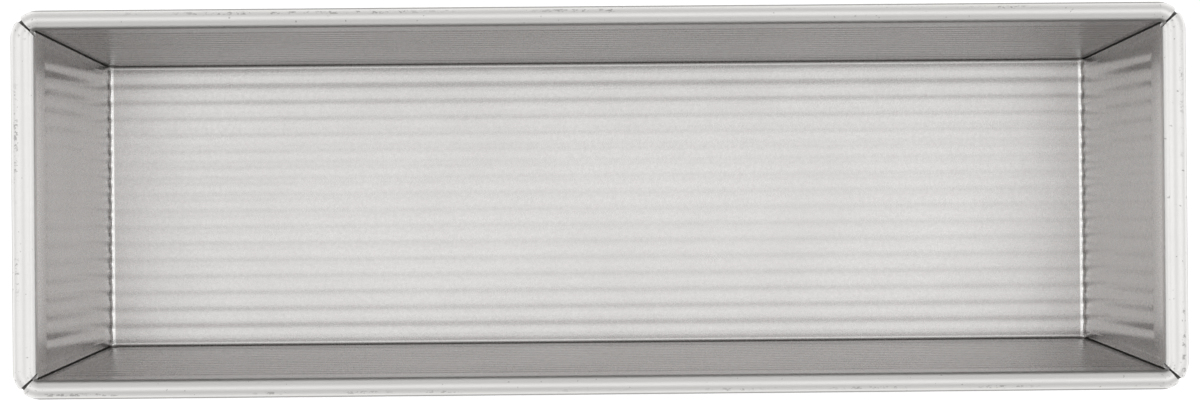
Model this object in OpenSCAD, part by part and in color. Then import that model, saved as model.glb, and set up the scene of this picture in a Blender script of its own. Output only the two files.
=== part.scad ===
// Pullman loaf pan: one folded sheet of fluted steel with a wire rolled into its rim.
// Millimetres. The underside lies in z = 0, the origin is under the middle of the floor,
// +X runs along the pan and +Z is up.

/* [Opening] */
// Length of the opening at the rim, between the end walls
opening_len = 330.2; // [200:0.1:420]
// Width of the opening at the rim, between the long walls
opening_wid = 102.6; // [95:0.1:160]
// Height of the rim wire's centre above the inside floor
wire_height = 101.1; // [100:0.1:130]
// How far each wall leans out between the floor and the rim
wall_lean = 5.2; // [2:0.1:10]

/* [Sheet] */
// Thickness of the steel sheet (22 gauge)
sheet_t = 0.76; // [0.6:0.01:0.9]
// Inside radius of the folds between the floor and the walls
fold_r = 1.4; // [1:0.1:2.4]

/* [Rim] */
// Diameter of the wire that the rim is rolled round
wire_d = 4; // [3:0.1:5]
// Clearance between the wire and the sheet rolled round it
wire_gap = 0.08; // [0.04:0.01:0.2]
// Radius of the wire's centre line at each corner, seen from above
wire_bend_r = 5.2; // [5:0.1:8]
// Gap between the two rolls that meet at a corner of the rim
mitre_gap = 0.5; // [0.2:0.05:0.8]
// Gap where the two ends of the wire meet
butt_gap = 0.3; // [0.1:0.1:1]

/* [Corner folds] */
// Gap between the layers that are pressed flat behind an end wall
layer_gap = 0.06; // [0.03:0.01:0.15]
// Slit between a long wall and the hemmed edge of an end wall
corner_slit = 0.45; // [0.2:0.05:0.6]
// Length of each folded flap, from the corner towards the middle of the end
flap_len = 39; // [30:1:42]

/* [Flutes] */
// Distance between the centres of two flutes
flute_pitch = 5.36; // [5:0.01:7]
// How far a flute stands up from the sheet
flute_h = 0.3; // [0.2:0.05:0.5]
// Width of a flute at its foot
flute_foot = 3.5; // [3:0.1:4.5]
// Width of the flat top of a flute
flute_top = 1.9; // [1.5:0.1:2.5]
// Height above the inside floor at which the flutes end
flute_end = 91; // [60:0.5:95]

/* [Hidden] */

// Walls: their lean, and the heights of the inside floor and of the wire's centre
slope = wall_lean / wire_height;
lean = atan(slope);
floor_z = sheet_t;
rim_z = floor_z + wire_height;
t_level = sheet_t / cos(lean);
gap_level = layer_gap / cos(lean);

// Level distance from the middle of the pan to the inside face of a wall at height z
function end_x(z) = opening_len / 2 - (rim_z - z) * slope;
function side_y(z) = opening_wid / 2 - (rim_z - z) * slope;

// Where parts of the sheet run into one another they overlap by joint, and they are thinner by
// lap on either face
joint = 0.8;
lap = 0.012;

// Rim rolls: their radii, the three layers behind an end wall, the wire's centre lines, and the
// angle at which the rolled edge ends under the wire
wire_r = wire_d / 2;
roll_in = wire_r + wire_gap;
roll_out = roll_in + sheet_t;
end_stack = ceil(100 * (3 * t_level + 2 * gap_level)) / 100;
side_wire_y = opening_wid / 2 + sheet_t + roll_in;
end_wire_x = opening_len / 2 + end_stack + roll_in;
bend_x = end_wire_x - wire_bend_r;
bend_y = side_wire_y - wire_bend_r;
roll_tuck = -130;

// Ridge along the inside of an end's rim, where the wall turns over the layers behind it
ridge_r = 1.3;
ridge_z = rim_z + roll_out - ridge_r - 0.1;
ridge_to = 60;
end_roll_from = 110;

// Shell: radius of its rounded outside corners, which the wire is bent round, and its reach at
// height z
shell_r = wire_bend_r - roll_in;
function shell_x(z) = end_x(z) + end_stack;
function shell_y(z) = side_y(z) + t_level;

// Centre of the fold between the floor and a wall, for a wall of the given reach at height 0
fold_z = floor_z + fold_r;
function fold_centre(reach) =
    reach + (fold_z - fold_r * sin(lean)) * slope - fold_r * cos(lean);

fold_x = fold_centre(end_x(0));
fold_from = fold_x - joint;

// Hems and flaps at the corners
hem_r = sheet_t + layer_gap / 2;
hem_in = corner_slit + hem_r;
flap_top = rim_z + 1.3;
flap_foot = side_y(floor_z) - hem_in;

// Flutes
flutes_half = floor((side_y(floor_z) - fold_r - flute_foot / 2) / flute_pitch);
side_flute_s = side_y(floor_z) - flutes_half * flute_pitch;
side_flutes = floor((flute_end - side_flute_s) / flute_pitch);

// Points of an arc from angle a to angle b in n steps
function arc(cx, cy, r, a, b, n) =
    [for (i = [0:n]) let (w = a + (b - a) * i / n) [cx + r * cos(w), cy + r * sin(w)]];

function heading(w) = [cos(w), sin(w)];

function reversed(list) = [for (i = [len(list) - 1:-1:0]) list[i]];

// One flute in section: offset along the sheet and height above it
flute_shape = [[-flute_foot / 2, 0], [-flute_top / 2, flute_h],
               [flute_top / 2, flute_h], [flute_foot / 2, 0]];

// Half of the trough's inside or outside face in section, from the middle of the floor up to
// the top of a long wall. out is 0 for the inside face and the sheet's thickness outside.
function floor_points(out) =
    [for (i = [0:flutes_half]) for (k = flute_shape)
        if (i > 0 || k[0] > 0) [i * flute_pitch + k[0], floor_z - out + k[1]]];

function wall_points(out) =
    [for (i = [0:side_flutes]) for (k = flute_shape)
        let (s = side_flute_s + i * flute_pitch + k[0], d = k[1] - out)
            [side_y(floor_z) + s * sin(lean) - d * cos(lean),
             floor_z + s * cos(lean) + d * sin(lean)]];

function half_section(out) =
    concat(floor_points(out),
           arc(fold_centre(side_y(0)), fold_z, fold_r + out, -90, -lean, 6),
           wall_points(out),
           [[side_y(rim_z) + out / cos(lean), rim_z]]);

function mirrored(list) = [for (p = list) [-p[0], p[1]]];

// The two ends, the two sides, and the four quarters of the pan
module both_ends() {
    for (sx = [0, 1])
        mirror([sx, 0, 0])
            children();
}

module both_sides() {
    for (sy = [0, 1])
        mirror([0, sy, 0])
            children();
}

module quarters() {
    both_ends()
        both_sides()
            children();
}

// Floor and long walls in section, fluted
module trough_section() {
    polygon(concat(reversed(mirrored(half_section(0))), half_section(0),
                   reversed(half_section(sheet_t)), mirrored(half_section(sheet_t))));
}

// What is cut from an end of the trough: the walls past the start of the upright bend, and
// the floor past the start of the end fold
module trough_end_cut() {
    rotate([90, 0, 0])
        linear_extrude(2 * opening_wid, center = true)
            past_bend(shell_x(0) - shell_r, opening_len);
    translate([fold_x, -flap_foot, -1])
        cube([opening_len, 2 * flap_foot, fold_z + 1.5]);
}

module trough() {
    difference() {
        rotate([90, 0, 90])
            linear_extrude(opening_len, center = true)
                trough_section();
        both_ends()
            trough_end_cut();
    }
}

// Frame of an end wall: the origin is on its inside face at height 0, +Z runs up the wall and
// +X leaves the pan
module on_end_wall() {
    translate([end_x(0), 0, 0])
        rotate([0, lean, 0])
            children();
}

// Flutes up an end wall, or with out = sheet_t the hollows behind them
module wall_flutes(out, root, start) {
    on_end_wall()
        for (i = [-flutes_half:flutes_half])
            translate([0, i * flute_pitch, floor_z])
                wall_flute(out, root, start);
}

// One flute from the length start to its round upper end. It stands on the plane out, and its
// root goes on behind that plane.
module wall_flute(out, root, start) {
    length = (flute_end - flute_foot / 2) / cos(lean);
    translate([0, 0, start])
        linear_extrude(length - start)
            polygon([[out + root, -flute_foot / 2], [out, -flute_foot / 2],
                     [out - flute_h, -flute_top / 2], [out - flute_h, flute_top / 2],
                     [out, flute_foot / 2], [out + root, flute_foot / 2]]);
    translate([out, 0, length])
        rotate([0, -90, 0]) {
            cylinder(r1 = flute_foot / 2 - lap, r2 = flute_top / 2 - lap, h = flute_h - lap);
            translate([0, 0, -root])
                cylinder(r = flute_foot / 2 - lap, h = root + lap);
        }
}

// End wall and its fold to the floor, in section
module end_section() {
    polygon(concat(
        [[fold_from, floor_z - lap]],
        arc(fold_x, fold_z, fold_r, -90, -lean, 8),
        [[end_x(rim_z), rim_z], [end_x(rim_z) + t_level, rim_z]],
        arc(fold_x, fold_z, fold_r + sheet_t, -lean, -90, 8),
        [[fold_from, lap]]));
}

// Everything between the slanting edges where an end wall turns back into its hems
module between_hems() {
    low = side_y(-1) - hem_in;
    high = side_y(rim_z + 1) - hem_in;
    rotate([90, 0, 90])
        linear_extrude(opening_len)
            polygon([[-low, -1], [low, -1], [high, rim_z + 1], [-high, rim_z + 1]]);
}

// Foot of a flute, from the floor into the end fold
module fold_flute() {
    foot = flute_foot / 2 - lap;
    root = sheet_t / 4;
    translate([fold_from, 0, floor_z])
        rotate([90, 0, 90])
            linear_extrude(2 * joint)
                polygon([[-foot, -root], [foot, -root], [foot, 0], [flute_top / 2, flute_h - lap],
                         [-flute_top / 2, flute_h - lap], [-foot, 0]]);
}

module end_wall() {
    difference() {
        union() {
            intersection() {
                rotate([90, 0, 0])
                    linear_extrude(2 * opening_wid, center = true)
                        end_section();
                between_hems();
            }
            wall_flutes(0, sheet_t / 2, 0);
            for (i = [-flutes_half:flutes_half])
                translate([0, i * flute_pitch, 0])
                    fold_flute();
        }
        wall_flutes(sheet_t, sheet_t, fold_r);
    }
}

// Pie slice from angle a to angle b, less than half a turn
module slice(a, b) {
    reach = 2 * roll_out;
    polygon([[0, 0], for (w = [a, (a + b) / 2, b]) reach * heading(w)]);
}

// Sheet rolled round the wire, from the top of a wall to the edge tucked in under the wire
module wire_roll(a) {
    difference() {
        circle(roll_out);
        circle(roll_in);
        slice(a, 360 + roll_tuck);
    }
}

// Top of a wall, from just below the wire's centre up into a roll
module wall_head(inside, up) {
    polygon([[inside - joint * slope + lap, rim_z - joint],
             [inside + up * slope + lap, rim_z + up],
             [inside + up * slope + t_level - lap, rim_z + up],
             [inside - joint * slope + t_level - lap, rim_z - joint]]);
}

// Rim of a long wall in section
module side_rim() {
    translate([side_wire_y, rim_z])
        wire_roll(180 - lean);
}

// Rim of an end wall in section: it folds over the layers behind it, then round the wire
module end_rim() {
    translate([end_wire_x, rim_z])
        wire_roll(end_roll_from);
    translate([opening_len / 2 + ridge_r, ridge_z])
        intersection() {
            difference() {
                circle(ridge_r);
                circle(ridge_r - sheet_t);
            }
            slice(180 - lean, ridge_to);
        }
    ridge_end = [opening_len / 2 + ridge_r, ridge_z] + ridge_r * heading(ridge_to + 1);
    roll_start = [end_wire_x, rim_z] + roll_out * heading(end_roll_from - 1);
    polygon([ridge_end + [0, -lap], roll_start + [0, -lap],
             roll_start + [0, lap - sheet_t], ridge_end + [0, lap - sheet_t]]);
}

// Slot between the two rolls that meet at a corner
module mitre_slot() {
    translate([bend_x, bend_y, rim_z])
        rotate([0, 0, 45])
            cube([4 * wire_bend_r, mitre_gap, 3 * roll_out], center = true);
}

module side_rims() {
    both_sides()
        rotate([90, 0, 90])
            linear_extrude(2 * bend_x, center = true) {
                side_rim();
                wall_head(opening_wid / 2, 0.3);
            }
    quarters()
        difference() {
            translate([bend_x, bend_y, 0])
                rotate([0, 0, 90])
                    rotate_extrude(angle = -45)
                        translate([-bend_y, 0])
                            side_rim();
            mitre_slot();
        }
}

module end_rims() {
    both_ends()
        rotate([90, 0, 0])
            linear_extrude(2 * bend_y, center = true) {
                end_rim();
                wall_head(opening_len / 2, ridge_z - rim_z + 0.1);
            }
    quarters()
        difference() {
            translate([bend_x, bend_y, 0])
                rotate_extrude(angle = 45)
                    translate([-bend_x, 0])
                        end_rim();
            mitre_slot();
        }
}

// Block with rounded upright corners that the outside of the sheet bounds, drawn in by inset
module shell_block(inset, top_z) {
    low_x = shell_x(shell_r) - shell_r / cos(lean);
    low_y = shell_y(shell_r) - shell_r / cos(lean);
    hull()
        quarters() {
            translate([low_x, low_y, shell_r])
                sphere(shell_r - inset, $fn = 24);
            translate([low_x, low_y, inset])
                cylinder(r = joint, h = joint);
            translate([shell_x(top_z) - shell_r, shell_y(top_z) - shell_r, top_z - lap])
                cylinder(r = shell_r - inset, h = lap, $fn = 24);
        }
}

// Everything past the start of the upright bends, drawn in section from the middle of the pan
// outwards, for walls whose bend starts at the reach low at height 0
module past_bend(low, far) {
    polygon([[low - slope, -1], [far, -1], [far, rim_z + 1], [low + (rim_z + 1) * slope, rim_z + 1]]);
}

// Upright rounded bends at the corners, from a long wall to the outer layer of a flap
module corner_posts() {
    intersection() {
        difference() {
            shell_block(lap, rim_z);
            shell_block(sheet_t - lap, rim_z + 1);
        }
        both_ends()
            rotate([90, 0, 0])
                linear_extrude(2 * opening_wid, center = true)
                    past_bend(shell_x(0) - shell_r - joint, opening_len);
        both_sides()
            rotate([90, 0, 90])
                linear_extrude(2 * opening_len, center = true)
                    past_bend(shell_y(0) - shell_r - joint, opening_wid);
    }
}

// The flat blank's line along an end wall's hem leans with the long wall, in the wall's frame
hem_lean = atan(sin(lean));

// Rounded edge where an end wall turns back on itself
module hem() {
    foot = floor_z + joint;
    translate([sheet_t + layer_gap / 2, side_y(0) - hem_in, 0])
        rotate([-hem_lean, 0, 0])
            translate([0, 0, foot])
                cylinder(r = hem_r - lap, h = rim_z / cos(lean) - foot);
}

// One layer behind an end wall: a plate with a slanting lower edge, given its place in the
// stack of layers and its upright edge at the corner as a reach at height 0
module layer(place, corner_y) {
    meet = (flap_foot + floor_z - corner_y) / (1 + slope);
    top = flap_top / cos(lean);
    translate([place * (sheet_t + layer_gap), 0, 0])
        rotate([90, 0, 90])
            linear_extrude(sheet_t)
                polygon([[corner_y + meet * slope, meet],
                         [corner_y + top * sin(lean), top],
                         [flap_foot - flap_len, top],
                         [flap_foot - flap_len, floor_z + flap_len]]);
}

// Slanting fold that joins the two layers of a flap along their lower edges
module flap_fold() {
    translate([2 * sheet_t + 1.5 * layer_gap, flap_foot - joint, floor_z + joint])
        rotate([45, 0, 0])
            rotate([0, 0, 90]) {
                cylinder(r = hem_r - lap, h = (flap_len - joint) * sqrt(2));
                sphere(hem_r - 2 * lap);
            }
}

// Envelope fold of one corner: the sheet turns back from the end wall at the hem, and back
// again at the slanting fold, and goes on round the upright bend into the long wall
module corner_fold() {
    on_end_wall() {
        hem();
        layer(1, side_y(0) - hem_in);
        layer(2, shell_y(0) - shell_r);
        flap_fold();
    }
}

module pan_sheet() {
    color([0.8, 0.8, 0.79]) {
        trough();
        side_rims();
        both_ends()
            end_wall();
        end_rims();
        quarters()
            corner_fold();
        corner_posts();
    }
}

module rim_wire() {
    color([0.55, 0.55, 0.56])
        difference() {
            union() {
                both_sides()
                    translate([0, side_wire_y, rim_z])
                        rotate([0, 90, 0])
                            cylinder(r = wire_r, h = 2 * bend_x, center = true);
                both_ends()
                    translate([end_wire_x, 0, rim_z])
                        rotate([90, 0, 0])
                            cylinder(r = wire_r, h = 2 * bend_y, center = true);
                quarters()
                    translate([bend_x, bend_y, rim_z])
                        rotate_extrude(angle = 90)
                            translate([wire_bend_r, 0])
                                circle(wire_r);
            }
            translate([0, -side_wire_y, rim_z])
                cube([butt_gap, 2 * wire_d, 2 * wire_d], center = true);
        }
}

pan_sheet();
rim_wire();
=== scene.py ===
import math

import bmesh
import bpy
from mathutils import Euler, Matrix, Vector


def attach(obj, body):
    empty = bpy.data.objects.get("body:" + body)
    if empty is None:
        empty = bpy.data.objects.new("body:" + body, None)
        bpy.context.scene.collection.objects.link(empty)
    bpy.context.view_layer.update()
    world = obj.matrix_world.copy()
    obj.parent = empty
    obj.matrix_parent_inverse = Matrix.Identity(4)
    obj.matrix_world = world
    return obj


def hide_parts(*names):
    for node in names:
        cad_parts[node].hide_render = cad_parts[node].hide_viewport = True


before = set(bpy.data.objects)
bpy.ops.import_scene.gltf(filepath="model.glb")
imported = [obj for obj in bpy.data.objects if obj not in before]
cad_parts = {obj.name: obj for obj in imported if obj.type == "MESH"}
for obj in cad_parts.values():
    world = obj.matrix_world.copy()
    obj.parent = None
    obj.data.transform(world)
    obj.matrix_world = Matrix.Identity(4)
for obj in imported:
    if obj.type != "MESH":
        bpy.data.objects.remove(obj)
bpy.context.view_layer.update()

# Sizes in millimetres, as in the CAD but for the corner slit, which is 0.45 there, the flutes,
# which are softer and lower here, and the ridge. MM turns them into the scene's metres.
MM = 0.001
OPENING_LEN = 330.2
OPENING_WID = 102.6
WIRE_HEIGHT = 101.1
WALL_LEAN = 5.2
SHEET = 0.76
FOLD_R = 1.4
WIRE_R = 2.0
WIRE_GAP = 0.08
WIRE_BEND_R = 5.2
LAYER_GAP = 0.06
CORNER_SLIT = 0.36

# Flutes: pitch, how many lie on each side of the middle one, heights on the floor, the long
# walls and the end walls, half widths of the top and of the foot, and where they end
PITCH = 5.36
FLUTES_HALF = 8
FLUTE_H = 0.1
SIDE_FLUTE_H = 0.26
END_FLUTE_H = 0.24
CREST_HALF = 0.5
FOOT_HALF = 2.6
ROUNDING = 0.4
FLUTE_END = 91.0

# The flutes of a long wall fade before its ends: where they are gone, and over what length
FADE_GAP = 0.6
FADE_RUN = 2.4

# Hem along an end wall's upright edge: the height over which it forms, and the low crease
# beside it, with its height, its distance from the hem, its width and its top
HEM_RUN = 2.6
CREASE_H = 0.08
CREASE_OFF = 2.2
CREASE_RUN = 0.5
CREASE_TOP = 100

# Gussets: length of the flap, how far it reaches up into the rim, and how far the fold between
# its layers bulges sideways and down
FLAP_LEN = 39.0
FLAP_RISE = 1.2
FLAP_SIDE = 0.3
FLAP_DOWN = 1.1

# Rim: the angles at which a roll starts and at which its edge is tucked under the wire, the
# ridge along an end rim's inner edge, and the dip between the ridge and the roll
SIDE_ROLL_START = 176
END_ROLL_START = 110
ROLL_TUCK = -130
RIDGE_R = 1.2
RIDGE_DROP = 0.1
RIDGE_END = 74
DIP_START = (0.5, -0.25)
DIP_END = (-0.7, -0.28)

# Mitre cracks: width, how much wider they are outside, and how far their outer ends are rounded
MITRE_GAP = 0.5
MITRE_WIDEN = 1.1
MITRE_ROUND = 0.6
MITRE_LEAST_REACH = 0.3

# Numbers of steps in the meshes
FOLD_STEPS = 8
HEM_STEPS = 10
FLOOR_STEPS = 168
WALL_STEPS = 330
END_STEPS = 176
FLUTE_END_STEPS = 22
GUSSET_STEPS = 24
LAYER_STEPS = 12
BEND_STEPS = 12
BEND_RISE_STEPS = 16
BEND_CLEAN_STEPS = 2
MITRE_STEPS = 8
STRAIGHT_STEPS = 14
SIDE_ROLL_STEPS = 44
END_ROLL_STEPS = 36
RIDGE_STEPS = 10

# Columns of the trough, as distances from its end: close together where the flutes fade
TROUGH_COLUMNS = (0, 0.8, 1.4, 2.0, 2.6, 3.4, 5, 8, 14, 25, 45, 80, 120)

# Rows of the end walls: distances above the fold, and then heights
ROWS_BY_FOLD = (0.3, 0.8, 1.4, 2.2, 3.2, 5)
ROWS_LOW = (12, 20, 35, 50, 65, 78)
ROWS_HIGH = (96, 99, 101)

# Values worked out from the sizes
SLOPE = WALL_LEAN / WIRE_HEIGHT
LEAN = math.atan(SLOPE)
COS_LEAN = math.cos(LEAN)
SIN_LEAN = math.sin(LEAN)
LEAN_DEG = math.degrees(LEAN)
FLOOR_Z = SHEET
RIM_Z = FLOOR_Z + WIRE_HEIGHT
T_LEVEL = SHEET / COS_LEAN
END_STACK = math.ceil(100 * (3 * T_LEVEL + 2 * LAYER_GAP / COS_LEAN)) / 100
ROLL_IN = WIRE_R + WIRE_GAP
ROLL_OUT = ROLL_IN + SHEET
SIDE_WIRE_Y = OPENING_WID / 2 + SHEET + ROLL_IN
END_WIRE_X = OPENING_LEN / 2 + END_STACK + ROLL_IN
BEND_X = END_WIRE_X - WIRE_BEND_R
BEND_Y = SIDE_WIRE_Y - WIRE_BEND_R
SHELL_R = WIRE_BEND_R - ROLL_IN
FOLD_Z = FLOOR_Z + FOLD_R
HEM_R = SHEET + LAYER_GAP / 2
HEM_IN = CORNER_SLIT + HEM_R


def end_x(z):
    """Reach of an end wall's inside face at height z."""
    return OPENING_LEN / 2 - (RIM_Z - z) * SLOPE


def side_y(z):
    """Reach of a long wall's inside face at height z."""
    return OPENING_WID / 2 - (RIM_Z - z) * SLOPE


def fold_centre(reach):
    """Centre of the fold between the floor and a wall that has this reach at height 0."""
    return reach + (FOLD_Z - FOLD_R * SIN_LEAN) * SLOPE - FOLD_R * COS_LEAN


FOLD_X = fold_centre(end_x(0))
FOLD_Y = fold_centre(side_y(0))
FOLD_TOP = FOLD_Z - FOLD_R * SIN_LEAN
FLAP_FOOT = side_y(FLOOR_Z) - HEM_IN
SIDE_FLUTE_S = side_y(FLOOR_Z) - FLUTES_HALF * PITCH
SIDE_FLUTES = math.floor((FLUTE_END - SIDE_FLUTE_S) / PITCH)


def smooth(t):
    """Eased step from 0 to 1 while t goes from 0 to 1."""
    t = min(max(t, 0.0), 1.0)
    return t * t * (3 - 2 * t)


def spaced(a, b, n):
    """n + 1 even values from a to b."""
    return [a + (b - a) * i / n for i in range(n + 1)]


def heading(a):
    """Cosine and sine of an angle in degrees."""
    return math.cos(math.radians(a)), math.sin(math.radians(a))


def rib(offset):
    """Height of one flute at an offset from its middle, as a share of its full height."""
    t = min(max((abs(offset) - CREST_HALF) / (FOOT_HALF - CREST_HALF), 0), 1)
    return 1 - t + ROUNDING * math.sin(2 * math.pi * t) / (2 * math.pi)


def from_flute(y):
    """Offset of y from the middle of the nearest lengthwise flute."""
    return y - min(max(round(y / PITCH), -FLUTES_HALF), FLUTES_HALF) * PITCH


def side_rib(s):
    """Height of the flutes of a long wall at the distance s up from the floor."""
    k = min(max(round((s - SIDE_FLUTE_S) / PITCH), 0), SIDE_FLUTES)
    return SIDE_FLUTE_H * rib(s - SIDE_FLUTE_S - k * PITCH)


# Meshes: every piece of sheet is a patch with an inside face and an outside face

class Patches:
    """Collects patches of sheet that end up in one piece, and which faces lie in a seam."""

    def __init__(self):
        self.vertices = []
        self.faces = []
        self.in_seam = []

    def grid(self, rows, flip=False):
        """Adds a grid of points and returns the index of its first vertex."""
        first = len(self.vertices)
        wide = len(rows[0])
        for row in rows:
            self.vertices.extend(row)
        for i in range(len(rows) - 1):
            for j in range(wide - 1):
                a = first + i * wide + j
                quad = (a, a + 1, a + wide + 1, a + wide)
                self.faces.append(quad[::-1] if flip else quad)
        return first

    def sheet(self, inside, outside, seam_ends=False):
        """Adds a closed patch between two grids of the same size. Its first and last columns can
        be marked as lying in a seam."""
        a = self.grid(inside)
        b = self.grid(outside, flip=True)
        high = len(inside)
        wide = len(inside[0])
        border = list(range(wide))
        border += [i * wide + wide - 1 for i in range(1, high)]
        border += [(high - 1) * wide + j for j in range(wide - 2, -1, -1)]
        border += [i * wide for i in range(high - 2, 0, -1)]
        for p, q in zip(border, border[1:] + border[:1]):
            if seam_ends and p % wide == q % wide:
                self.in_seam.append(len(self.faces))
            self.faces.append((a + q, a + p, b + p, b + q))

    def mirrored(self, x, y):
        """Adds a mirrored copy of all that has been collected so far."""
        count = len(self.vertices)
        self.in_seam += [i + len(self.faces) for i in self.in_seam]
        self.vertices += [(v[0] * x, v[1] * y, v[2]) for v in self.vertices[:count]]
        inside_out = x * y < 0
        for face in self.faces[:]:
            moved = tuple(i + count for i in face)
            self.faces.append(moved[::-1] if inside_out else moved)

    def add(self, other):
        """Adds the patches that another collection holds."""
        count = len(self.vertices)
        self.in_seam += [i + len(self.faces) for i in other.in_seam]
        self.vertices += other.vertices
        self.faces += [tuple(i + count for i in face) for face in other.faces]


SHARP = math.radians(50)
WELD = 1e-7


def make_object(name, patches, materials):
    """Piece from patches in millimetres, smooth but for its sharp edges, riding on the pan.
    The faces inside a seam take the second material."""
    mesh = bpy.data.meshes.new(name)
    mesh.from_pydata([Vector(v) * MM for v in patches.vertices], [], patches.faces)
    for index in patches.in_seam:
        mesh.polygons[index].material_index = 1
    bm = bmesh.new()
    bm.from_mesh(mesh)
    bmesh.ops.remove_doubles(bm, verts=bm.verts, dist=WELD)
    bmesh.ops.dissolve_degenerate(bm, dist=WELD, edges=bm.edges)
    bmesh.ops.recalc_face_normals(bm, faces=bm.faces)
    for face in bm.faces:
        face.smooth = True
    for edge in bm.edges:
        if len(edge.link_faces) != 2 or edge.calc_face_angle(0) > SHARP:
            edge.smooth = False
    bm.to_mesh(mesh)
    bm.free()
    for material in materials:
        mesh.materials.append(material)
    piece = bpy.data.objects.new(name, mesh)
    bpy.context.scene.collection.objects.link(piece)
    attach(piece, "root")
    return piece


# Floor and long walls

def trough_profile():
    """Half of the trough in section: for each point the inside (y, z), the normal into the pan,
    the height of the flutes, and whether it lies on the wall."""
    points = []
    for y in spaced(0, FOLD_Y, FLOOR_STEPS):
        points.append((y, FLOOR_Z, 0, 1, FLUTE_H * rib(from_flute(y)), False))
    for a in spaced(-90, -LEAN_DEG, FOLD_STEPS)[1:]:
        c, s = heading(a)
        points.append((FOLD_Y + FOLD_R * c, FOLD_Z + FOLD_R * s, -c, -s, 0, False))
    start = (FOLD_TOP - FLOOR_Z) / COS_LEAN
    top = (RIM_Z - FLOOR_Z) / COS_LEAN
    for s in spaced(start, top, WALL_STEPS)[1:]:
        z = FLOOR_Z + s * COS_LEAN
        points.append((side_y(z), z, -COS_LEAN, SIN_LEAN, side_rib(s), True))
    return points


def make_trough(patches):
    inside, outside = [], []
    for y, z, ny, nz, height, on_wall in trough_profile():
        reach = FOLD_X if y < FLAP_FOOT else end_x(z) + END_STACK - SHELL_R
        row_in, row_out = [], []
        xs = [reach - d for d in TROUGH_COLUMNS]
        xs = [-x for x in xs] + [0] + xs[::-1]
        for x in xs:
            fade = smooth((reach - abs(x) - FADE_GAP) / FADE_RUN) if on_wall else 1
            h = height * fade
            row_in.append((x, y + ny * h, z + nz * h))
            row_out.append((x, y + ny * (h - SHEET), z + nz * (h - SHEET)))
        inside.append(row_in)
        outside.append(row_out)
    half_in = [[(x, -y, z) for x, y, z in row] for row in inside[:0:-1]]
    half_out = [[(x, -y, z) for x, y, z in row] for row in outside[:0:-1]]
    patches.sheet(half_in + inside, half_out + outside)


# End walls, with the hem along both upright edges

def end_path():
    """Stations from the floor up an end wall: inside (x, z), normal into the pan, distance up
    the wall from the floor, how far the hem has formed, and the height of the flutes."""
    stations = [(FOLD_X, FLOOR_Z, 0, 1, 0, 0, FLUTE_H)]
    for i, a in enumerate(spaced(-90, -LEAN_DEG, FOLD_STEPS)[1:]):
        c, s = heading(a)
        flute = FLUTE_H + (END_FLUTE_H - FLUTE_H) * smooth((i + 1) / FOLD_STEPS)
        stations.append((FOLD_X + FOLD_R * c, FOLD_Z + FOLD_R * s, -c, -s, 0, 0, flute))
    heights = [FOLD_TOP + d for d in ROWS_BY_FOLD] + [*ROWS_LOW]
    heights += spaced(FLUTE_END - 5, FLUTE_END + 1.6, FLUTE_END_STEPS) + [*ROWS_HIGH, RIM_Z]
    for z in heights:
        s = (z - FLOOR_Z) / COS_LEAN
        hem = smooth((z - FOLD_TOP) / HEM_RUN)
        stations.append((end_x(z), z, -COS_LEAN, SIN_LEAN, s, hem, END_FLUTE_H))
    return stations


def end_rib(y, s):
    """Share of the full height of an end wall's flutes: each one has a round end."""
    return rib(math.hypot(from_flute(y), max(0, s - (FLUTE_END - FOOT_HALF))))


def make_end_walls(patches):
    inside, outside = [], []
    for x, z, nx, nz, s, hem, flute_height in end_path():
        hem_y = side_y(max(z, FOLD_Z)) - HEM_IN + (1 - hem) * HEM_R
        row_in, row_out = [], []
        columns = [(v * hem_y, 0) for v in spaced(0, 1, END_STEPS)]
        columns += [(hem_y, a) for a in spaced(0, 180, HEM_STEPS)[1:]]
        for y, a in columns:
            c, sn = heading(a)
            flute = flute_height * end_rib(y, s) if a == 0 and y < FLAP_FOOT else 0
            if s < CREASE_TOP:
                flute += hem * CREASE_H * smooth((y - hem_y + CREASE_OFF) / CREASE_RUN)
            h = flute - hem * HEM_R * (1 - c)
            y_in = y + hem * HEM_R * sn
            h_out = flute - SHEET + hem * LAYER_GAP / 2 * (c - 1)
            y_out = y + hem * LAYER_GAP / 2 * sn
            row_in.append((x + nx * h, y_in, z + nz * h))
            row_out.append((x + nx * h_out, y_out, z + nz * h_out))
        inside.append([(px, -py, pz) for px, py, pz in row_in[:0:-1]] + row_in)
        outside.append([(px, -py, pz) for px, py, pz in row_out[:0:-1]] + row_out)
    patches.sheet(inside, outside)
    patches.mirrored(-1, 1)


# Gussets: the two layers behind each half of an end wall, joined along a slanting fold

def wall_point(away, y, z):
    """Point behind an end wall, away from its inside face, at height z up the wall."""
    return (end_x(0) + away * COS_LEAN + z * SIN_LEAN, y, z * COS_LEAN - away * SIN_LEAN)


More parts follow.
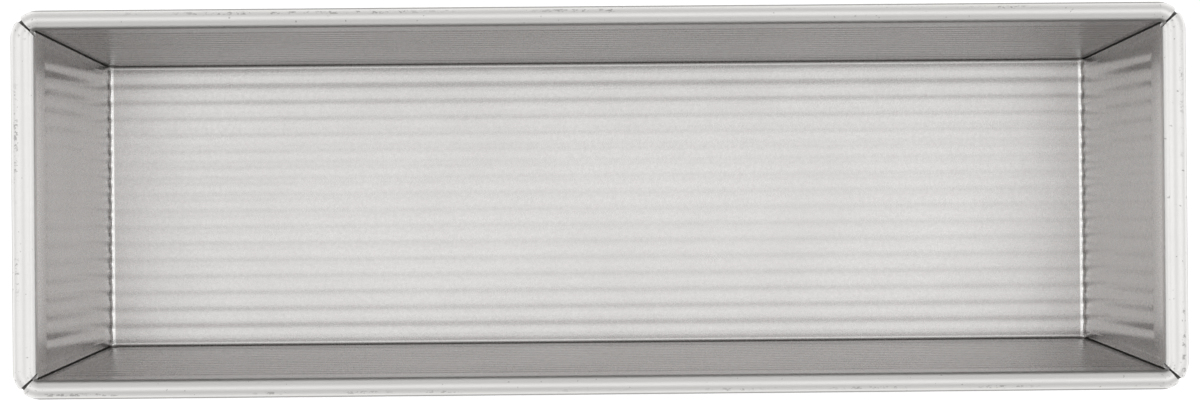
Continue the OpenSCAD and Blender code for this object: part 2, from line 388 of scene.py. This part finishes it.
def make_gussets(patches):
    trim_y = FLAP_FOOT - FLAP_LEN
    corner_y = side_y(0) + T_LEVEL - SHELL_R
    meet = (FLAP_FOOT + FLOOR_Z - corner_y) / (1 + SLOPE)
    top = (RIM_Z + FLAP_RISE) / COS_LEAN
    foot = corner_y + meet * SLOPE
    middle = 2 * SHEET + 1.5 * LAYER_GAP
    faces = []
    for radius in (HEM_R, LAYER_GAP / 2):
        rows = []
        for v in spaced(0, 1, GUSSET_STEPS):
            y_low = trim_y + v * (foot - trim_y)
            z_low = FLOOR_Z + FLAP_FOOT - y_low
            y_top = trim_y + v * (corner_y + top * SIN_LEAN - trim_y)
            outer = [(middle + radius, y_low + (y_top - y_low) * u, z_low + (top - z_low) * u)
                     for u in spaced(1, 0, LAYER_STEPS)]
            turn = []
            for a in spaced(0, 180, HEM_STEPS)[1:-1]:
                c, s = heading(a)
                bulge = radius * s / math.sqrt(2)
                turn.append((middle + radius * c, y_low + bulge * FLAP_SIDE,
                             z_low - bulge * FLAP_DOWN))
            inner = [(middle - radius, y, z) for _, y, z in outer[::-1]]
            rows.append([wall_point(*p) for p in outer + turn + inner])
        faces.append(rows)
    patches.sheet(faces[0], faces[1])
    patches.mirrored(1, -1)
    patches.mirrored(-1, 1)


# Upright rounded bends at the corners

def make_corners(patches):
    """The inner faces lie in the corner slits, but for the last turns beside the long walls."""
    bottom_r = FOLD_R + SHEET
    tip_r = 0.02
    faces = []
    for inset in (0, SHEET):
        profile = [(tip_r, inset)]
        for a in spaced(-90, 0, FOLD_STEPS):
            c, s = heading(a)
            reach = SHELL_R - bottom_r + (bottom_r - inset) * c
            profile.append((reach, bottom_r + (bottom_r - inset) * s))
        profile += [(SHELL_R - inset, z) for z in spaced(FOLD_Z, RIM_Z, BEND_RISE_STEPS)[1:]]
        rows = []
        for r, z in profile:
            cx = end_x(z) + END_STACK - SHELL_R
            cy = side_y(z) + T_LEVEL - SHELL_R
            turns = [heading(a) for a in spaced(0, 90, BEND_STEPS)]
            rows.append([(cx + r * c, cy + r * s, z) for c, s in turns])
        faces.append(rows)
    patches.sheet(faces[0], faces[1])
    count = (len(faces[0]) - 1) * BEND_STEPS
    patches.in_seam = [count + i for i in range(count)
                       if i % BEND_STEPS < BEND_STEPS - BEND_CLEAN_STEPS]
    patches.mirrored(1, -1)
    patches.mirrored(-1, 1)


# Rim: the sheet rolled round the wire, mitred at the corners

def bezier(p0, p1, p2, p3, n):
    """Points along a cubic curve with these four control points."""
    points = []
    for t in spaced(0, 1, n):
        u = 1 - t
        w = (u * u * u, 3 * u * u * t, 3 * u * t * t, t * t * t)
        points.append(tuple(sum(k * p[i] for k, p in zip(w, (p0, p1, p2, p3))) for i in (0, 1)))
    return points


def arc(cx, cz, r, a, b, n):
    """Points along an arc from the angle a to the angle b."""
    return [(cx + r * c, cz + r * s) for c, s in map(heading, spaced(a, b, n))]


def side_rim_profile():
    """(y, z) from the top of a long wall round the wire to the tucked edge."""
    roll = arc(SIDE_WIRE_Y, RIM_Z, ROLL_OUT, SIDE_ROLL_START, ROLL_TUCK, SIDE_ROLL_STEPS)
    return [(OPENING_WID / 2, RIM_Z)] + roll


def end_rim_profile():
    """(x, z) from the top of an end wall over its layers and round the wire."""
    ridge = arc(OPENING_LEN / 2 + RIDGE_R, RIM_Z + ROLL_OUT - RIDGE_R - RIDGE_DROP, RIDGE_R,
                180 - LEAN_DEG, RIDGE_END, RIDGE_STEPS)
    roll = arc(END_WIRE_X, RIM_Z, ROLL_OUT, END_ROLL_START, ROLL_TUCK, END_ROLL_STEPS)
    a, b = ridge[-1], roll[0]
    dip = bezier(a, (a[0] + DIP_START[0], a[1] + DIP_START[1]),
                 (b[0] + DIP_END[0], b[1] + DIP_END[1]), b, RIDGE_STEPS)
    return [(OPENING_LEN / 2, RIM_Z)] + ridge + dip[1:-1] + roll


def thickened(profile):
    """The other face of the sheet: the profile moved by its thickness to its right side."""
    moved = []
    last = len(profile) - 1
    for i, p in enumerate(profile):
        a = profile[max(i - 1, 0)]
        b = profile[min(i + 1, last)]
        d = math.hypot(b[0] - a[0], b[1] - a[1])
        moved.append((p[0] + (b[1] - a[1]) / d * SHEET, p[1] - (b[0] - a[0]) / d * SHEET))
    return moved


def rim_grid(profile, centre, half):
    """Grid of a rim along one side of the pan: both mitred corner bends and the straight."""
    straight = [s * half for s in spaced(-1, 1, STRAIGHT_STEPS)]
    rows = []
    for r, z in profile:
        reach = r - centre
        outward = smooth((reach - WIRE_BEND_R + ROLL_OUT) / (2 * ROLL_OUT))
        half_gap = MITRE_GAP / 2 * (1 + MITRE_WIDEN * outward)
        half_gap += MITRE_ROUND * smooth(reach - WIRE_BEND_R - ROLL_OUT + 1) ** 2
        cut = math.degrees(math.asin(min(half_gap / max(reach, MITRE_LEAST_REACH), 1)))
        bend = []
        for c, s in map(heading, spaced(45 - cut, 0, MITRE_STEPS)[:-1]):
            bend.append((-half - reach * s, centre + reach * c, z))
        other_bend = [(-x, y, z) for x, y, z in bend[::-1]]
        rows.append(bend + [(p, r, z) for p in straight] + other_bend)
    return rows


def make_rims(patches):
    profile = side_rim_profile()
    sides = Patches()
    sides.sheet(rim_grid(profile, BEND_Y, BEND_X), rim_grid(thickened(profile), BEND_Y, BEND_X),
                seam_ends=True)
    sides.mirrored(1, -1)
    profile = end_rim_profile()
    ends = Patches()
    swap = [[[(y, x, z) for x, y, z in row] for row in rim_grid(p, BEND_X, BEND_Y)]
            for p in (profile, thickened(profile))]
    ends.sheet(swap[0], swap[1], seam_ends=True)
    ends.mirrored(-1, 1)
    patches.add(sides)
    patches.add(ends)


# Node trees

class Nodes:
    """Short hand for building a node tree."""

    def __init__(self, tree):
        self.tree = tree

    def add(self, kind, **values):
        node = self.tree.nodes.new(kind)
        for key, value in values.items():
            setattr(node, key, value)
        return node

    def link(self, a, b):
        self.tree.links.new(a, b)

    def math(self, operation, a, b=0):
        node = self.add("ShaderNodeMath", operation=operation)
        for socket, value in zip(node.inputs, (a, b)):
            if isinstance(value, (int, float)):
                socket.default_value = value
            else:
                self.link(value, socket)
        return node.outputs["Value"]

    def product(self, first, *others):
        """All the values multiplied."""
        for other in others:
            first = self.math("MULTIPLY", first, other)
        return first

    def total(self, *parts):
        """Sum of values, each given with its weight."""
        result = self.math("MULTIPLY", *parts[0])
        for value, weight in parts[1:]:
            result = self.math("ADD", result, self.math("MULTIPLY", value, weight))
        return result

    def rise(self, value, low, high, start=0.0, end=1.0):
        """Eased step from start to end while the value goes from low to high."""
        node = self.add("ShaderNodeMapRange", interpolation_type="SMOOTHSTEP")
        for name, number in (("From Min", low), ("From Max", high),
                             ("To Min", start), ("To Max", end)):
            node.inputs[name].default_value = number
        self.link(value, node.inputs["Value"])
        return node.outputs["Result"]

    def fall(self, value, low, high):
        """Eased step from 1 to 0 while the value goes from low to high."""
        return self.rise(value, low, high, 1, 0)

    def band(self, value, start, end):
        """1 between two eased steps, up and down again, each given as (low, high)."""
        return self.product(self.rise(value, *start), self.fall(value, *end))


class Material(Nodes):
    """Short hand for building a node material, placed by object coordinates in metres."""

    def __init__(self, name):
        self.material = bpy.data.materials.new(name)
        self.material.use_nodes = True
        super().__init__(self.material.node_tree)
        self.shader = self.tree.nodes["Principled BSDF"]
        self.place = self.add("ShaderNodeTexCoord").outputs["Object"]

    def scaled(self, x, y, z):
        node = self.add("ShaderNodeMapping")
        node.inputs["Scale"].default_value = (x, y, z)
        self.link(self.place, node.inputs["Vector"])
        return node.outputs["Vector"]

    def noise(self, scale, detail=3, rough=0.55, vector=None):
        node = self.add("ShaderNodeTexNoise")
        node.inputs["Scale"].default_value = scale
        node.inputs["Detail"].default_value = detail
        node.inputs["Roughness"].default_value = rough
        self.link(vector or self.place, node.inputs["Vector"])
        return node.outputs["Fac"]

    def mix(self, factor, a, b):
        """Colour between a and b, which are sockets or plain colours."""
        node = self.add("ShaderNodeMix", data_type="RGBA")
        sockets = [s for s in node.inputs if s.type == "RGBA"]
        for socket, value in zip(sockets, (a, b)):
            if isinstance(value, tuple):
                socket.default_value = (*value, 1)
            else:
                self.link(value, socket)
        self.link(factor, node.inputs["Factor"])
        return [s for s in node.outputs if s.type == "RGBA"][0]

    def bump(self, height, strength, distance):
        node = self.add("ShaderNodeBump")
        node.inputs["Strength"].default_value = strength
        node.inputs["Distance"].default_value = distance
        self.link(height, node.inputs["Height"])
        return node


class Places:
    """Where a point of the sheet lies, in millimetres, as sockets that the masks go by: along the
    pan and across it from the middle, how high, and the reach of its wall at height 0."""

    def __init__(self, n):
        split = n.add("ShaderNodeSeparateXYZ")
        n.link(n.scaled(1 / MM, 1 / MM, 1 / MM), split.inputs["Vector"])
        self.y = split.outputs["Y"]
        self.up = split.outputs["Z"]
        self.along = n.math("ABSOLUTE", split.outputs["X"])
        self.across = n.math("ABSOLUTE", self.y)
        lean = n.product(self.up, SLOPE)
        self.end_foot = n.math("SUBTRACT", self.along, lean)
        self.side_foot = n.math("SUBTRACT", self.across, lean)
        self.on_rim = n.rise(self.up, *RIM_UP)
        self.turn = n.product(self.y, 2 * math.pi / PITCH)


# The sheet's colours
SHEET_DARK = (0.565, 0.55, 0.543)
SHEET_LIGHT = (0.67, 0.657, 0.65)
SHEET_CLOUD = (0.58, 0.565, 0.555)
# Painted highlights on the crests of the rolls, palest on the ends
RIM_CREST_HIGHLIGHT = (0.8, 0.79, 0.775)
END_CREST_HIGHLIGHT = (0.85, 0.84, 0.83)
# Painted shade on the outer flanks of the rolls
OUTLINE_SHADE = (0.12, 0.115, 0.11)
# Painted shade: flute valleys, long walls low down and under the rolls
PAINTED_SHADE = (0.3, 0.29, 0.285)
# Painted highlight along the end folds, and painted shade above them
FOLD_HIGHLIGHT = (0.9, 0.89, 0.88)
FOLD_SHADE = (0.25, 0.24, 0.235)
# Painted highlight on the end walls' heads under the rim
END_HEAD_HIGHLIGHT = (0.87, 0.86, 0.85)
WORN = (0.33, 0.32, 0.31)

# Eased steps between the sheet's marks, each as (low, high) in millimetres
RIM_UP = (100.5, 103.0)
CREST_UP = (101.8, 104.0)
END_CREST_ALONG = (164.0, 166.0)
OUTLINE_ACROSS = (56.35, 56.8)
OUTLINE_ALONG = (171.85, 172.3)
VALLEY_UP = (2, 4)
FOLD_HIGHLIGHT_ALONG = ((FOLD_X - 0.4, FOLD_X), (FOLD_X + 1.3, FOLD_X + 1.5))
FOLD_HIGHLIGHT_UP = ((0.4, 0.7), (0.9, 1.5))
SHADE_UP = ((1.5, 2.5), (5, 6.5))
SHADE_ALONG = ((159.7, 159.9), (160.4, 160.6))
SHADE_ACROSS = (45.8, 46.4)
SCALLOP = 1.2
END_INSIDE = ((159.3, 159.6), (160.1, 160.4))
HEAD_UP = ((90, 102.5), (101.8, 103.0))
SIDE_INSIDE = ((45.4, 45.7), (46.3, 46.6))
LOW_WALL_UP = (3.5, 22)
UNDER_ROLL_UP = ((88, 99.5), (101.5, 102.4))
UNDER_ROLL_ALONG = (163.8, 164.4)
SIDE_CROWN = 55.6
SIDE_CROWN_OFF = (0.2, 0.6)
END_CROWN = 170.6
END_CROWN_OFF = (0.3, 0.9)
CORNER_ALONG = (161.5, 166.5)
CORNER_ACROSS = (46.5, 51.5)


def rim_tints(n, at, colour):
    """Painted highlight on the crests of the rolls, palest on the ends, and painted shade
    along their outer flanks as a dark outline.
    """
    # Painted highlight on the crests of the rolls, stronger on the ends
    crest = n.rise(at.up, *CREST_UP)
    colour = n.mix(n.product(crest, 0.9), colour, RIM_CREST_HIGHLIGHT)
    end_crest = n.product(crest, n.rise(at.along, *END_CREST_ALONG))
    colour = n.mix(n.product(end_crest, 0.8), colour, END_CREST_HIGHLIGHT)
    # Painted shade along the rolls' outer flanks
    outline = n.math("MAXIMUM", n.rise(at.across, *OUTLINE_ACROSS, 0, 0.85),
                     n.rise(at.along, *OUTLINE_ALONG, 0, 0.6))
    return n.mix(n.product(outline, at.on_rim), colour, OUTLINE_SHADE)


def end_tints(n, at, colour):
    """Painted shade in the valleys of the floor's flutes, then for the end walls a painted
    highlight along the fold, painted shade in a band with a scalloped edge above it, and a
    painted highlight on the head under the rim."""
    # Painted shade in the valleys of the floor's flutes
    valley = n.rise(n.math("COSINE", at.turn), -1, -0.1, 1, 0)
    valley = n.product(valley, n.fall(at.up, *VALLEY_UP))
    colour = n.mix(n.product(valley, 0.06), colour, PAINTED_SHADE)
    # Painted highlight along the end folds
    line = n.product(n.band(at.along, *FOLD_HIGHLIGHT_ALONG), n.band(at.up, *FOLD_HIGHLIGHT_UP))
    colour = n.mix(line, colour, FOLD_HIGHLIGHT)
    scallop = n.math("ADD", at.up, n.product(n.math("SINE", at.turn), SCALLOP))
    shade = n.product(n.band(scallop, *SHADE_UP), n.band(at.along, *SHADE_ALONG),
                      n.fall(at.across, *SHADE_ACROSS))
    colour = n.mix(n.product(shade, 0.5), colour, FOLD_SHADE)
    # Painted highlight on the end walls' heads
    head = n.product(n.band(at.end_foot, *END_INSIDE), n.band(at.up, *HEAD_UP))
    return n.mix(n.product(head, 0.7), colour, END_HEAD_HIGHLIGHT)


def side_tints(n, at, colour):
    """Painted shade in bands along the long walls, low down by the fold and under the rolls."""
    # Painted shade low on the long walls and under the rolls
    low = n.fall(at.up, *LOW_WALL_UP)
    under_roll = n.product(n.band(at.up, *UNDER_ROLL_UP), n.fall(at.along, *UNDER_ROLL_ALONG))
    dull = n.product(n.math("MAXIMUM", low, under_roll), n.band(at.side_foot, *SIDE_INSIDE))
    return n.mix(n.product(dull, 0.62), colour, PAINTED_SHADE)


def wear(n, at):
    """Broken dark dashes along the crowns of the rolls, pits, and chips at the rim's corners."""
    crowns = []
    for value, crown, off in ((at.across, SIDE_CROWN, SIDE_CROWN_OFF),
                              (at.along, END_CROWN, END_CROWN_OFF)):
        crowns.append(n.fall(n.math("ABSOLUTE", n.math("SUBTRACT", value, crown)), *off))
    crown = n.product(n.math("MAXIMUM", *crowns), at.on_rim)
    rubbed = n.rise(n.noise(30, detail=2), 0.45, 0.6)
    dashes = n.rise(n.noise(760, detail=3, rough=0.7, vector=n.scaled(0.6, 1, 1)), 0.53, 0.6)
    dashes = n.product(dashes, rubbed, crown)
    pits = n.rise(n.noise(800, detail=2, rough=0.5), 0.7, 0.76)
    pits = n.product(pits, n.math("ADD", n.product(at.on_rim, 0.9), 0.1))
    corner = n.product(n.rise(at.along, *CORNER_ALONG), n.rise(at.across, *CORNER_ACROSS))
    chips = n.rise(n.noise(1100, detail=3, rough=0.6), 0.6, 0.67)
    chips = n.product(chips, corner, at.on_rim)
    return n.math("MAXIMUM", n.math("MAXIMUM", dashes, pits), chips)


def sheet_material():
    """Satin aluminised steel: fine crystal grain, rolling streaks along the pan, rougher rims,
    and painted highlights and shade.
    """
    n = Material("aluminised_steel")
    at = Places(n)
    grain = n.noise(2600, detail=2, rough=0.7)
    spangle = n.noise(900, detail=2, rough=0.6)
    streaks = n.noise(60, detail=4, vector=n.scaled(0.25, 14, 14))
    cloud = n.noise(22, detail=3)
    tone = n.total((grain, 0.5), (spangle, 0.3), (streaks, 0.2))
    colour = n.mix(n.rise(tone, 0.32, 0.68), SHEET_DARK, SHEET_LIGHT)
    colour = n.mix(n.rise(cloud, 0.35, 0.75, 0, 0.3), colour, SHEET_CLOUD)
    for tints in (rim_tints, end_tints, side_tints):
        colour = tints(n, at, colour)
    colour = n.mix(n.product(wear(n, at), 0.7), colour, WORN)
    n.link(colour, n.shader.inputs["Base Color"])
    n.shader.inputs["Metallic"].default_value = 1.0

    rough = n.total((grain, 0.14), (streaks, 0.08), (cloud, 0.06), (at.on_rim, 0.18))
    n.link(n.math("ADD", rough, 0.12), n.shader.inputs["Roughness"])
    fine = n.bump(tone, 0.5, 0.00006)
    dents = n.bump(cloud, 0.5, 0.0005)
    n.link(dents.outputs["Normal"], fine.inputs["Normal"])
    n.link(fine.outputs["Normal"], n.shader.inputs["Normal"])
    return n.material


def seam_material():
    """Inside of a seam: nearly black painted shade for the deep narrow gap, with a dull sheen."""
    n = Material("seam_shade")
    # Painted shade in the seam's gap
    seam_noise = n.noise(400, detail=4)
    n.link(n.mix(seam_noise, (0.012, 0.011, 0.01), (0.045, 0.04, 0.036)), n.shader.inputs["Base Color"])
    n.link(n.rise(seam_noise, 0.2, 0.8, 0.55, 0.8), n.shader.inputs["Roughness"])
    n.link(n.bump(seam_noise, 0.4, 0.0001).outputs["Normal"], n.shader.inputs["Normal"])
    return n.material


def wire_material():
    """Drawn steel wire: dull grey, finely mottled, with a little dark oxide."""
    n = Material("drawn_wire")
    mottle = n.noise(900, detail=3)
    oxide = n.rise(n.noise(120, detail=4), 0.45, 0.7)
    colour = n.mix(mottle, (0.07, 0.068, 0.066), (0.16, 0.158, 0.155))
    n.link(n.mix(oxide, colour, (0.04, 0.035, 0.032)), n.shader.inputs["Base Color"])
    n.shader.inputs["Metallic"].default_value = 1.0
    n.link(n.rise(mottle, 0.2, 0.8, 0.4, 0.6), n.shader.inputs["Roughness"])
    n.link(n.bump(mottle, 0.3, 0.00005).outputs["Normal"], n.shader.inputs["Normal"])
    return n.material


def floor_material():
    """Pale studio floor, lifted to white where it is looked at, and still taking the shadow."""
    n = Material("studio_floor")
    tone = n.noise(3, detail=2)
    n.link(n.mix(tone, (0.93, 0.93, 0.93), (0.96, 0.96, 0.96)), n.shader.inputs["Base Color"])
    n.shader.inputs["Roughness"].default_value = 0.9
    n.shader.inputs["Specular IOR Level"].default_value = 0.0
    path = n.add("ShaderNodeLightPath")
    seen = n.math("MAXIMUM", path.outputs["Is Camera Ray"], path.outputs["Is Glossy Ray"])
    seen = n.math("MAXIMUM", seen, path.outputs["Is Transmission Ray"])
    n.shader.inputs["Emission Color"].default_value = (1, 1, 1, 1)
    n.link(n.product(seen, FLOOR_LIFT), n.shader.inputs["Emission Strength"])
    return n.material


# Pan

sheet_materials = (sheet_material(), seam_material())
pieces = []
for name, build in (("trough", make_trough), ("end_walls", make_end_walls),
                    ("gussets", make_gussets), ("corner_bends", make_corners),
                    ("rim_rolls", make_rims)):
    patches = Patches()
    build(patches)
    pieces.append(make_object(name, patches, sheet_materials))
for piece in pieces:
    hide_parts("pan_sheet")

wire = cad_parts["rim_wire"]
wire.data.materials.clear()
wire.data.materials.append(wire_material())

# Stage, in metres: a pale floor just under the pan, an oval lamp beyond each end, and a pale
# world with a large soft glow beside the zenith. A direction in the world is a unit vector.
FLOOR_HALF = 4.0
FLOOR_DOWN = 0.0002
FLOOR_LIFT = 0.44
LAMP_X = 0.8
LAMP_Z = 0.95
LAMP_SIZE = (0.28, 0.9)
LAMP_RADIANCE = 1.1
GLOW_X = -0.02
GLOW_Y = 0.09
GLOW = 0.68
GLOW_EDGE = (0.2, 0.6)
GLOW_SIDE_DIM = 0.4
SKY_LOW = 0.85
SKY_HIGH = 0.6


def make_floor():
    places = spaced(-FLOOR_HALF, FLOOR_HALF, 8)
    grid = Patches()
    grid.grid([[(x, y, -FLOOR_DOWN) for x in places] for y in places])
    mesh = bpy.data.meshes.new("studio_floor")
    mesh.from_pydata(grid.vertices, [], grid.faces)
    mesh.materials.append(floor_material())
    floor = bpy.data.objects.new("studio_floor", mesh)
    bpy.context.scene.collection.objects.link(floor)


def make_lamp(side):
    """Soft oval lamp beyond one end, aimed at the pan, that adds its radiance to the world's."""
    size, size_y = LAMP_SIZE
    place = Vector((side * LAMP_X, 0, LAMP_Z))
    data = bpy.data.lights.new("end_lamp", "AREA")
    data.shape = "ELLIPSE"
    data.size = size
    data.size_y = size_y
    data.energy = LAMP_RADIANCE * math.pi * (math.pi / 4 * size * size_y)
    lamp = bpy.data.objects.new("end_lamp", data)
    lamp.location = place
    lamp.rotation_euler = (Vector((0, 0, 0)) - place).to_track_quat("-Z", "Y").to_euler()
    bpy.context.scene.collection.objects.link(lamp)


def make_world():
    """Pale light from all round, with a large soft glow nearly overhead. Away from the pan's
    middle line the glow is dimmer, from further in towards -X."""
    world = bpy.data.worlds.new("studio")
    world.use_nodes = True
    n = Nodes(world.node_tree)
    split = n.add("ShaderNodeSeparateXYZ")
    n.link(n.add("ShaderNodeTexCoord").outputs["Generated"], split.inputs["Vector"])
    x, y, z = (split.outputs[axis] for axis in "XYZ")
    off_x = n.math("SUBTRACT", x, GLOW_X)
    off_y = n.math("SUBTRACT", y, GLOW_Y)
    away = n.math("POWER", n.math("ADD", n.product(off_x, off_x), n.product(off_y, off_y)), 0.5)
    past_middle = n.math("SUBTRACT", n.math("ABSOLUTE", y), n.rise(x, -0.17, -0.03, 0.08, 0.45))
    glow = n.product(n.rise(away, *GLOW_EDGE, GLOW, 0),
                     n.rise(past_middle, 0, 0.11, 1, GLOW_SIDE_DIM), n.rise(z, 0, 0.2))
    level = n.math("ADD", glow, n.rise(z, 0.2, 0.8, SKY_LOW, SKY_HIGH))
    n.link(level, world.node_tree.nodes["Background"].inputs["Color"])
    bpy.context.scene.world = world


make_floor()
make_world()
for side in (-1, 1):
    make_lamp(side)

# Camera: straight above, fitted to the rim's and the floor's corners in a frame 1200 wide

FOCAL_PIXELS = 2881
FRAME_WIDTH = 1200
SENSOR = 36.0
CAMERA_PLACE = (-0.00781, -0.00608, 0.94715)
CAMERA_TURN = (0.342, -0.517, -0.492)
camera_data = bpy.data.cameras.new("camera")
camera_data.sensor_fit = "HORIZONTAL"
camera_data.sensor_width = SENSOR
camera_data.lens = FOCAL_PIXELS * SENSOR / FRAME_WIDTH
camera = bpy.data.objects.new("camera", camera_data)
camera.location = CAMERA_PLACE
camera.rotation_euler = Euler([math.radians(a) for a in CAMERA_TURN])
bpy.context.scene.collection.objects.link(camera)
bpy.context.scene.camera = camera
bpy.context.scene.view_settings.view_transform = "Standard"
